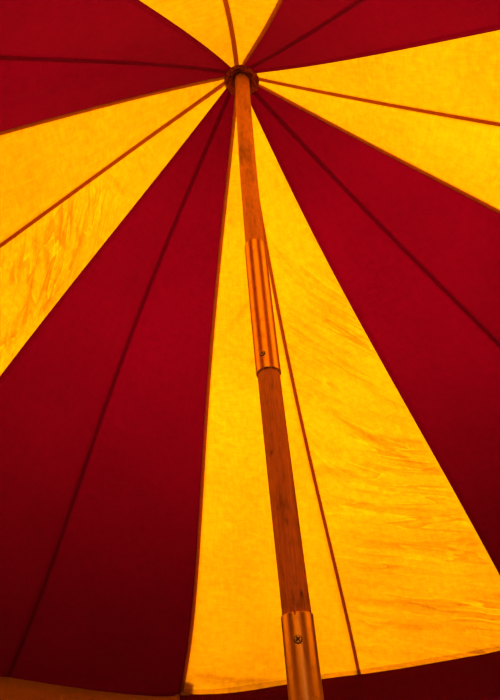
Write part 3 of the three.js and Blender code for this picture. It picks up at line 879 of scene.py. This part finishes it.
def flap_surface(seam, way, share, height):
    """A flap's cloth, share of the way across it from its seam: the width it covers is less than its own,
    and the rest goes into pleats, as deep as a zigzag of the cloth's true length. The tie nips them."""
    half = wall_width(height) / 2
    nip = bell((height - TIE_HEIGHT) / 70)
    covered = flap_share(height) * half * (1 - 0.1 * nip)
    deep = covered / (4 * PLEATS) * np.sqrt(np.maximum((half / covered) ** 2 - 1, 0)) * (1 - 0.2 * nip)
    drift = 0.35 * patches(share * 3, height / 260 + seam, 61) + 0.08 * (height - TIE_HEIGHT) / 400
    phase = 2 * np.pi * (PLEATS * share + drift * np.sin(np.pi * share))
    g = seam + way * (covered * share + GAP) / (2 * half)
    out = deep * np.sin(phase) * ease(0, 0.05, share)
    gore = DOOR_SEAMS[0]
    direction = np.array((math.cos(gore * STEP), math.sin(gore * STEP), 0))
    return wall_plain(g, height) + direction * out[..., None]


def door_flap(side, seam, way):
    """A flap as a thin closed solid round its surface, way along the doorway from its seam, with a hem
    down its free edge."""
    height, across = np.meshgrid(np.linspace(0, EAVE_HEIGHT, 76), np.linspace(0, 1, 73), indexing="ij")
    across = across[:, ::way]
    middle = flap_surface(seam, way, across, height)
    out = unit(np.cross(np.gradient(middle, axis=1), np.gradient(middle, axis=0)))
    half = wall_width(height) / 2
    hem = across * half - (half - FLAP_HEM)
    fields = {
        "cloth": both_faces(np.stack([across * half + 900 * way, height, hem], -1)),
        "folded": both_faces(np.where(hem > 0, 0.5, 0.0)),
    }
    solid = thin_solid(middle + out * PLY, middle - out * PLY)
    made = piece(f"door_cloth_{side}", solid, RED_CANVAS, f"door_flap_{side}", **fields)


def door_tie(side, seam, way):
    """A leather strap round a flap's pleats: an open oval loop, its two ends drawn out to the seam."""
    ring = np.linspace(-0.5, 0.5, 40) * 2 * np.pi * 0.93
    height = np.array(float(TIE_HEIGHT))
    reach = flap_share(height) * wall_width(height) / 2
    hung = wall_plain(np.array(float(seam)), height)
    chord = unit(wall_plain(np.array(seam + way * 0.1), height) - hung)
    outwards = unit(np.array((hung[0], hung[1], 0.0)))
    half_long, half_deep = reach / 2 + 8 + 14 * np.abs(ring / np.pi) ** 3, 21.0
    loop = (
        hung
        + chord * (reach / 2 + half_long * np.cos(ring))[:, None]
        + outwards * (half_deep * np.sin(ring))[:, None]
        + np.array((0, 0, 1)) * (4 * np.cos(ring))[:, None]
    )
    piece(f"door_tie_{side}", strap(loop, TIE_WIDTH, TIE_THICK, (0, 0, 1)), LEATHER)


for side, seam, way in (("left", DOOR_SEAMS[0], 1), ("right", DOOR_SEAMS[1], -1)):
    door_flap(side, seam, way)
    door_tie(side, seam, way)


# The crown: a gathered leather collar inside and a leather cap outside

# The collar's section, from its inner lip outwards along the underside and back over the top: distance
# from the pole's axis, depth below the roof, and how much a deep fold lifts it towards the roof
COLLAR = (
    (31.4, 12, 0), (32.4, 17, 0), (35, 19, 0), (39, 19, 1), (43, 17, 4), (46, 15, 9), (49, 13.5, 8),
    (52, 12.5, 1), (56, 12, -2), (60, 9.5, -1), (65, 6.5, 0), (68.5, 5, 0), (69.5, 4, 0), (67, 3.2, 0),
    (57, 3, 0), (45, 3, 0), (37, 5, 0), (31.6, 8, 0),
)
COLLAR_BORE, COLLAR_RIM = 31.4, 69.5
UNDERSIDE = 12  # the section's points up to here are its underside
# The collar's deep folds: direction in degrees, half-width in degrees, how deep
COLLAR_FOLDS = (
    (-112, 24, 1), (-38, 14, 0.95), (-160, 9, 0.45), (12, 10, 0.5), (95, 20, 0.6), (150, 12, 0.4),
)
# The cap's section, from the middle of its underside round the rim to the middle of its top: distance
# from the axis and height above the roof
CAP = (
    (4, 3.2), (30, 3.2), (60, 3.2), (68, 3.1), (70, 4), (70.6, 5.4), (69, 7), (66, 7.2), (63.5, 6.2),
    (61, 7.4), (48, 7.2), (30, 7.4), (14, 7.8), (3, 8.4),
)
CAP_RADIUS = 70
CROWN_HEIGHT = 3700  # where the pole's bow gives how far the collar and the cap sit to the right


def straight_roof(x, y):
    """Height of the roof's middle over a spot, with its gores flat and its seams straight."""
    angle = np.arctan2(y, x)
    off = angle - np.round(angle / STEP) * STEP
    return APEX_HEIGHT - SLOPE * np.hypot(x, y) * np.cos(off) / math.cos(STEP / 2)


def around(radius, height, angle):
    """Points at a distance from the pole's axis, at a height, in a direction."""
    radius, height = np.broadcast_arrays(radius, height)
    return np.stack([radius * np.cos(angle), radius * np.sin(angle), height], -1)


def bow(height):
    """The pole is a little crooked: how far its axis stands to the right of the upright, as a cubic of the
    share of the way from the lower sleeve to the apex."""
    t = np.maximum((height - SLEEVE_LOWER_TOP) / (APEX_HEIGHT - SLEEVE_LOWER_TOP), 0)
    return 17.5 * t**3 - 24 * t * (1 - t)


def bowed(points):
    """Points carried to the right with the pole's bow."""
    return points + np.stack([bow(points[..., 2]), 0 * points[..., 2], 0 * points[..., 2]], -1)


def crown_collar():
    """The collar's section turned round the pole: fine gathers on its underside, a rim that wavers in and
    out, and the deep folds, which are bell curves of the direction. Painted shade lies deep in the folds,
    in the hollows of the gathers underneath and along the inner lip."""
    angle = directions(192)
    gathers, waver = 15 * angle / (2 * np.pi), 11 * angle / (2 * np.pi)
    spread = patches(waver, 0 * angle + 1, 73)
    folds = 0 * angle
    for at, wide, strong in COLLAR_FOLDS:
        folds += strong * bell(apart(angle, math.radians(at)) / math.radians(wide))
    rings, deep = [], []
    for k, (radius, depth, lifted) in enumerate(COLLAR):
        outer = (radius - COLLAR_BORE) / (COLLAR_RIM - COLLAR_BORE)
        under = k < UNDERSIDE
        ridge = 1 - 2 * np.abs(patches(gathers, radius / 22 + 0 * angle, 71))
        r = np.maximum(radius + 5 * outer * spread - 2 * (1 - outer) * ridge * under, COLLAR_BORE - 0.4)
        x, y = r * np.cos(angle) + bow(CROWN_HEIGHT), r * np.sin(angle)
        drop = depth - lifted * folds + under * (2.6 * ridge + 1.5 * spread * outer)
        rings.append(np.stack([x, y, straight_roof(x, y) - np.maximum(drop, 3)], -1))
        # Painted shade along the inner lip, in the deep folds and in the gathers' hollows
        lip_shade = 0.75 if radius < 36 else 0.3 * (radius < 42)
        fold_shade = np.maximum(np.clip(lifted / 9, 0, 1) * np.clip(folds, 0, 1), lip_shade)
        deep.append(fold_shade + under * 0.2 * np.clip(-ridge, 0, 1))
    deep.append(deep[0])
    piece("crown_collar", hoop(np.array(rings)), LEATHER, "crown_patch", deep=np.ravel(deep))


def crown_cover():
    """The cap's section turned round the axis, puckered along its rim and its top."""
    angle = directions(160)
    rings = []
    for k, (radius, lift) in enumerate(CAP):
        pucker = patches(16 * angle / (2 * np.pi), 0 * angle + radius / 30, 79)
        r, share = radius * (1 + 0.012 * pucker), radius / CAP_RADIUS
        x, y = r * np.cos(angle) + 0.7 * bow(CROWN_HEIGHT) * share, r * np.sin(angle)
        top = 0.7 * (pucker + 1) * share if k > 3 else 0
        rings.append(np.stack([x, y, straight_roof(x, y) + lift + top], -1))
    piece("crown_cover", skin(np.array(rings)), LEATHER, "crown_cap")


crown_collar()
crown_cover()


# The pole, its sleeves and their screws

LOWER_JOINT = SLEEVE_LOWER_TOP - SLEEVE_LENGTH / 2
UPPER_JOINT = SLEEVE_UPPER_TOP - SLEEVE_LENGTH / 2
LOWER_FOOT = SLEEVE_LOWER_TOP - SLEEVE_LENGTH
UPPER_FOOT = SLEEVE_UPPER_TOP - SLEEVE_LENGTH
BORE = POLE_RADIUS + GAP
ALL_ROUND = 400  # the half-width of a band that goes all round, such as the bands of dirt, painted shade and painted shadow

# Knots, bruises, dirt just above the lower sleeve, a band of painted shade under each sleeve's foot and a
# band of painted shadow at the pole's head under the collar: height, direction from the axis in degrees,
# half-length, half-width, how dark
KNOTS_AND_SHADE = (
    (3057, -95, 5, 3, 0.6), (2825, -84, 9, 3, 0.7), (2871, -124, 12, 3, 0.5), (2960, -70, 5, 3, 0.5),
    (2064, -118, 5, 4, 0.7), (1960, -126, 6, 4, 0.6), (1915, -121, 6, 5, 0.8), (1830, -108, 9, 5, 0.6),
    (1797, -108, 26, 12, 0.4), (1768, -98, 24, 14, 0.4), (1741, -90, 14, 7, 0.4), (1700, -84, 30, 6, 0.3),
    (1614, -89, 12, 5, 0.6), (1587, -64, 7, 4, 0.7), (1576, -98, 10, 4, 0.6), (1850, -75, 9, 3, 0.4),
    (2105, -84, 8, 3, 0.4), (2300, 40, 14, 6, 0.9), (2000, 90, 16, 7, 0.9), (900, -60, 16, 7, 0.9),
    (640, -130, 14, 6, 0.8), (420, 20, 16, 7, 0.9), (1100, 110, 12, 6, 0.8), (240, -95, 13, 5, 0.9),
    # Painted shadow at the head under the collar, dirt above the lower sleeve, and painted shade under each
    # sleeve's foot
    (3692, SEEN, 20, ALL_ROUND, 0.8), (SLEEVE_LOWER_TOP + 18, SEEN, 26, ALL_ROUND, 0.5),
    (UPPER_FOOT - 1, SEEN, 3.5, ALL_ROUND, 2.5), (LOWER_FOOT - 1, SEEN, 3.5, ALL_ROUND, 2.5),
)
# Each screw's height and its direction from the axis in degrees
SCREWS = ((2212, -113), (2212, 67), (2618, 67), (1498, -99), (1498, 81), (1098, -99), (1098, 81))
SCREW_SIZE = 7.2


def pole_section(name, node, profile):
    """A length of turned pole: a profile of radius and height turned round the axis, a little out of round
    from the plane, with low swellings at the knots."""
    profile = np.array(profile, float)
    radius, height, turned = np.broadcast_arrays(profile[:, :1], profile[:, 1:], directions(64))
    knot = np.zeros(turned.shape)
    for at, toward, long, wide, dark in KNOTS_AND_SHADE:
        away = apart(turned, math.radians(toward)) * POLE_RADIUS / wide
        knot += dark * np.exp(-(((height - at) / long) ** 2) - away**2)
    full = radius > POLE_RADIUS - 2
    uneven = 0.35 * patches(turned * 5 / (2 * np.pi) + 2, height / 300, 83) * full
    r = np.minimum(radius + uneven - 0.35 * full + 0.5 * knot * full, POLE_RADIUS)
    rings = bowed(around(r, height, turned))
    # The knot field carries the painted shade and shadow bands as well as the knots
    piece(name, skin(rings), POLE_WOOD, node, knot=np.clip(with_ends(knot), 0, 1))


def length_of_pole(bottom, top):
    """A straight run with a 2 mm arris taken off both ends, and rows close together at the upper sleeve's
    foot, where the band of painted shade lies."""
    close = [UPPER_FOOT + z for z in (-9, -6, -4, -2.5, -1, 0.5, 3)]
    heights = [*np.arange(bottom + 10, top - 8, 11), *[z for z in close if bottom + 10 < z < top - 8]]
    arris = ((POLE_RADIUS - 2, 0), (POLE_RADIUS - 0.6, 0.6), (POLE_RADIUS, 2.4))
    ends = [(r, bottom + z) for r, z in arris], [(r, top - z) for r, z in arris[::-1]]
    return [*ends[0], *[(POLE_RADIUS, z) for z in np.unique(heights)], *ends[1]]


def pole_tip():
    """How high the head's tip and the edge of its end can stand under the cone, which the bowed pole meets
    off its middle."""
    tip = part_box("pole_head")[1].z / MM
    tip -= SLOPE * bow(tip)
    return tip, APEX_HEIGHT - SLOPE * (POLE_RADIUS + bow(tip)) - 2


def sleeve(name, node, top, nick):
    """A sleeve of rolled sheet: an outer wall with softened ends and the bore inside, its lengthwise seam
    a groove at the back, a shallow dent or two, a small nick in the top edge, and both edges worn a little
    ragged. nick is its direction."""
    bottom = top - SLEEVE_LENGTH
    lip = ((SLEEVE_RADIUS - 0.9, 0), (SLEEVE_RADIUS - 0.2, 0.4), (SLEEVE_RADIUS, 1.2))
    outer_wall = [(SLEEVE_RADIUS, z) for z in np.linspace(bottom + 4, top - 4, 60)]
    inner_wall = [
        (BORE + 0.4, top), (BORE, top - 0.6), (BORE, top - 14), (BORE, bottom + 12),
        (BORE + 1.3, bottom + 2), (BORE + 1.5, bottom),
    ]
    ends = [(r, bottom + z) for r, z in lip], [(r, top - z) for r, z in lip[::-1]]
    profile = np.array([*ends[0], *outer_wall, *ends[1], *inner_wall])
    radius, height, angle = np.broadcast_arrays(profile[:, :1], profile[:, 1:], directions(144))
    from_seam, from_nick = (apart(angle, toward) * SLEEVE_RADIUS for toward in (math.radians(118), nick))
    groove = 1.1 * bell(from_seam / 1.6)
    dents = 0.012 * patches(angle * 4 / np.pi, height / 110 + top, 89)
    radius = radius - (radius > SLEEVE_RADIUS - 1) * (groove + dents + 0.2)
    height = height - np.where(height > top - 16, 9 * np.clip(1 - np.abs(from_nick) / 3.4, 0, 1), 0)
    ragged = 0.7 * patches(angle * 12 / np.pi, 0 * height, 97)
    worn_down = np.minimum(ragged, 0) * (height > top - 3)
    worn_up = np.maximum(ragged, 0) * (height < bottom + 3)
    piece(name, hoop(bowed(around(radius, height + worn_down + worn_up, angle))), SLEEVE_METAL, node)


def screw(name, height, toward, size):
    """A crosshead screw in a sleeve: a ring of painted shade round it, a low upright rim, a dome on it,
    and a cross cut in the dome, darkened with painted shade."""
    angle = directions(48)
    profile = (
        (1.16, -2), (1.16, 0.5), (1.1, 0.75), (1.04, 0.8), (1.0, 0.9), (0.98, 1.9), (0.93, 2.4),
        (0.86, 2.75), (0.78, 3.0), (0.72, 3.1), (0.6, 3.3), (0.48, 3.45), (0.38, 3.55), (0.28, 3.6),
        (0.18, 3.65), (0.08, 3.65),
    )
    rings, deep = [], []
    for share, lift in profile:
        y, z = size * share * np.cos(angle), size * share * np.sin(angle)
        arm = np.minimum(np.abs(y * 0.8 + z * 0.6), np.abs(z * 0.8 - y * 0.6))
        cut = (1 - ease(0.9, 1.5, arm)) * (share < 0.75)
        rings.append(np.stack([SLEEVE_RADIUS - 0.4 + lift - 2.4 * cut, y, z + height], -1))
        # Painted shade in the cross cut and on the ring and rim round the head
        deep.append(np.maximum(0.9 * cut, share > 0.97))
    points = bowed(turned_about_pole(np.array(rings), math.radians(toward)))
    piece(name, skin(points), SCREW_METAL, deep=with_ends(np.array(deep)))


tip, rim = pole_tip()
foot = length_of_pole(0, LOWER_JOINT - GAP / 2)
middle = length_of_pole(LOWER_JOINT + GAP / 2, UPPER_JOINT - GAP / 2)
head = length_of_pole(UPPER_JOINT + GAP / 2, rim)[:-2]
head += [(29, rim - 0.4), (27, min(rim + 1, tip - 2)), (13, tip - 1), (11, tip - 0.4), (8, tip)]
pole_section("pole_section_foot", "pole_foot", foot)
pole_section("pole_section_middle", "pole_middle", middle)
pole_section("pole_section_head", "pole_head", head)
sleeve("sleeve_rolled_upper", "sleeve_upper", SLEEVE_UPPER_TOP, math.radians(60))
sleeve("sleeve_rolled_lower", "sleeve_lower", SLEEVE_LOWER_TOP, math.radians(-101))
for number, (height, toward) in enumerate(SCREWS, 1):
    screw(f"sleeve_screw_{number}", height, toward, SCREW_SIZE)


# Guys: eave tabs, ropes with their runners, and pegs

TAB_WIDTH, TAB_THICK = 18, 2.4
HANGER_WIDTH, HANGER_THICK = 62, 2.2
KNOT_RADIUS, KNOT_ROPE, KNOT_PITCH = 9.2, 4.1, 8.6  # of a whipped knot's coil, its rope and one turn


def peg():
    """A cleft stake: a rounded oblong that leans outwards as it rises, its depth cut back to a neck under
    the hook, its arrises worn and its head bruised by the mallet. Rows are close at the neck and head."""
    heights = np.array((
        0, 0.5, 20, 40, 60, 80, 84, 88, 94, 98.4, 104, 110, 116, 119.4, 120, 122, 125, 128, 132, 145, 160,
        172, 180, 185, 188, 189.6, 190,
    ))
    depths = (PEG_DEPTH, PEG_DEPTH, PEG_NECK, PEG_NECK, PEG_DEPTH, PEG_DEPTH, 31)
    depth = np.interp(heights, (0, 84, 98.4, 120, 128, 182, 190), depths)
    width = np.interp(heights, (0, 172, 182, 190), (PEG_WIDTH, PEG_WIDTH, PEG_WIDTH + 0.8, 26))
    front = PEG_RADIUS + heights * PEG_LEAN + np.interp(heights, (0, 182, 190), (0, 0, 5))
    outline = oblong(1, 1, 7, 32)
    depth, width, front, height, angle = np.broadcast_arrays(
        *(part[:, None] for part in (depth, width, front, heights)), directions(32)
    )
    rough = 0.5 * patches(angle * 5 / np.pi, height / 45, 101)
    x = front + depth * (0.5 + outline[:, 0]) - rough * outline[:, 0]
    y = width * outline[:, 1] - rough * outline[:, 1]
    return np.stack([x, y, height], -1)


def whipped_knot(start, down, turns):
    """Rope wound round a guy's leg: a helix down its line."""
    across, up = np.array((0, 1, 0)), np.cross(down, (0, 1, 0))
    t = np.linspace(0, 1, round(turns * 16) + 1)[:, None]
    angle = 2 * np.pi * turns * t
    wound = KNOT_RADIUS * (np.cos(angle) * across + np.sin(angle) * up)
    return rope(start + down * (turns * KNOT_PITCH * t) + wound, KNOT_ROPE, down)


def guy():
    """The rope in its own plane: a single leg from the eave tab to the runner and a long loop from there
    round the peg's neck, with a whipped knot below the tab and another above the runner."""
    head = np.array((EAVE_RADIUS + 7, 0, EAVE_HEIGHT - 3.0))
    front = PEG_RADIUS + LOOP_HEIGHT * PEG_LEAN - ROPE_STAND
    back = front + PEG_NECK + 2 * ROPE_STAND
    foot = np.array((front, 0, LOOP_HEIGHT))
    runner = np.array((EAVE_RADIUS + 10, 0, EAVE_HEIGHT)) * (1 - RUNNER_SHARE) + foot * RUNNER_SHARE
    down = unit(runner - head)
    leg = rounded([head, runner + down * 20], 1, 6)
    side = PEG_WIDTH / 2 + ROPE_RADIUS + GAP
    loop = [runner + down * 10 + (0, -8, 0), (front, -side, LOOP_HEIGHT), (back, -side, LOOP_HEIGHT)]
    loop = rounded([*loop, *[np.array(p) * (1, -1, 1) for p in loop[::-1]]], 8, 6)
    parts = (
        rope(leg, ROPE_RADIUS, (0, 1, 0)),
        rope(loop, ROPE_RADIUS, (0, 0.3, 1)),
        whipped_knot(head + down * 14, down, 3.5),
        whipped_knot(runner - down * 66, down, 2.5),
    )
    solids, strands = zip(*parts)
    return several(solids), np.concatenate(strands), runner, down


def runner_slat(middle, down):
    """A wooden runner: a rounded slat along the rope, with its ends and waist taken in."""
    length, width, thickness = RUNNER_SIZE
    along = length / 2 - np.array((0, 0.4, 1.6, 4, 8, 17, 27, 35))
    along = np.concatenate([-along, along[-2::-1]])
    size = np.array((0.55, 0.75, 0.88, 0.96, 1, 1, 0.95, 0.92))
    size = np.concatenate([size, size[-2::-1]])
    section = oblong(width, thickness, 4, 28) * size[:, None, None]
    return skin(sweep(middle + down * along[:, None], section, (0, 1, 0)))


def over_roof(radius, lift):
    """A spot over a seam, lift millimetres out from the roof's middle, or inside where it is negative."""
    return (radius, 0, APEX_HEIGHT - SLOPE * radius + lift * SLANT)


def eave_tab():
    """A strap folded over the hem at a corner, sewn down outside, with the guy's rope tied through it."""
    hooked = [(EAVE_RADIUS + 10, 0, EAVE_HEIGHT - 1), (EAVE_RADIUS + 6, 0, EAVE_HEIGHT - 11)]
    path = [over_roof(2136, 3.4), over_roof(2157, 3.4), *hooked, over_roof(2158.5, -5.2)]
    return strap(rounded(path, 5, 5), TAB_WIDTH, TAB_THICK, (0, 1, 0))


def wall_hanger():
    """A tab of doubled canvas inside a sector's corner: sewn to the roof's hem, turned down over the wall's
    edge and sewn to it, with its end standing off a little."""
    sewn = [over_roof(radius, -5.4 / SLANT) for radius in (2102, 2141)]
    path = [*sewn, (2143, 0, 1888), (2144, 0, 1874), (2141, 0, 1870)]
    return strap(rounded(path, 7, 2.5), HANGER_WIDTH, HANGER_THICK, (0, 1, 0))


peg_rings = peg()
tab = eave_tab()
hanger = wall_hanger()
guy_shape, guy_strand, runner_middle, guy_down = guy()
slat = runner_slat(runner_middle, guy_down)
for i in range(GORES):
    bearing, number = (i - 0.5) * STEP, f"{i + 1:02d}"
    corner = np.array((EAVE_RADIUS * math.cos(bearing), EAVE_RADIUS * math.sin(bearing), EAVE_HEIGHT))
    uneven = seam_line(np.array(i), np.array(float(EAVE_RADIUS))) - corner

    def pulled(shape):
        """Turned to this corner, and pulled along with it where the roof hangs unevenly."""
        points, faces = shape
        share = np.clip((PEG_RADIUS - points[..., :1]) / (PEG_RADIUS - EAVE_RADIUS), 0, 1)
        return turned_about_pole(points, bearing) + share * uneven, faces

    piece(f"guy_line_{number}", pulled(guy_shape), HEMP, f"guy_rope_{number}", strand=guy_strand)
    piece(f"guy_runner_{number}", pulled(slat), PEG_WOOD)
    stake = skin(turned_about_pole(peg_rings, bearing))
    piece(f"guy_stake_{number}", stake, PEG_WOOD, f"guy_peg_{number}")
    if i % 2:
        fields = {"cloth": hanger[0][:, [1, 2, 0]], "folded": np.ones(len(hanger[0]))}
        shape = turned_about_pole(hanger[0], bearing), hanger[1]
        piece(f"wall_hanger_{(i + 1) // 2}", shape, YELLOW_CANVAS, **fields)
    piece(f"eave_tab_{number}", pulled(tab), LEATHER)


# Floor, light and camera

CAMERA_PLACE = (-95.3, -1348.6, 1136)  # inside the tent near the door side, looking up the pole
CAMERA_TURN = (87.98, 39.572, -4.988)  # degrees: azimuth, pitch and roll
LENS, SENSOR = 33.43, 36


def camera_matrix(place, degrees):
    """How the camera is turned and where it stands: its right, up, back and place as columns."""
    azimuth, pitch, roll = (math.radians(a) for a in degrees)
    ahead = np.append(math.cos(pitch) * np.array((math.cos(azimuth), math.sin(azimuth))), math.sin(pitch))
    level = np.array((math.sin(azimuth), -math.cos(azimuth), 0))
    above = np.cross(level, ahead)
    right = math.cos(roll) * level + math.sin(roll) * above
    top = -math.sin(roll) * level + math.cos(roll) * above
    turn = np.eye(4)
    turn[:3] = np.stack([right, top, -ahead, np.array(place) * MM], -1)
    return Matrix(turn.tolist())


mesh = bpy.data.meshes.new("studio_floor")
square = ((-1, -1), (1, -1), (1, 1), (-1, 1))
mesh.from_pydata([(x * FLOOR_REACH, y * FLOOR_REACH, -FLOOR_DROP) for x, y in square], [], [(0, 1, 2, 3)])
mesh.materials.append(new_finish("floor_paper", None, paper)[0])
floor = bpy.data.objects.new("studio_floor", mesh)
bpy.context.scene.collection.objects.link(floor)

scene = bpy.context.scene
scene.world = bpy.data.worlds.new("studio")
scene.world.use_nodes = True
sky = scene.world.node_tree.nodes["Background"].inputs
sky[0].default_value, sky[1].default_value = (1.0, 0.99, 0.97, 1), SKY
lamp = bpy.data.lights.new("studio_lamp", "AREA")
lamp.shape, lamp.size, lamp.energy = "DISK", LAMP_SIZE, LAMP_WATTS
overhead = bpy.data.objects.new("studio_lamp", lamp)
overhead.location = LAMP_PLACE
lamp_x, lamp_y, lamp_z = LAMP_PLACE
overhead.rotation_euler = (-math.atan2(lamp_y, lamp_z), math.atan2(lamp_x, lamp_z), 0)
overhead.visible_camera = False
scene.collection.objects.link(overhead)
scene.view_settings.view_transform = "Standard"

lens = bpy.data.cameras.new("view")
lens.lens, lens.sensor_width, lens.clip_start = LENS, SENSOR, 0.01
camera = bpy.data.objects.new("view", lens)
camera.matrix_world = camera_matrix(CAMERA_PLACE, CAMERA_TURN)
scene.collection.objects.link(camera)
scene.camera = camera
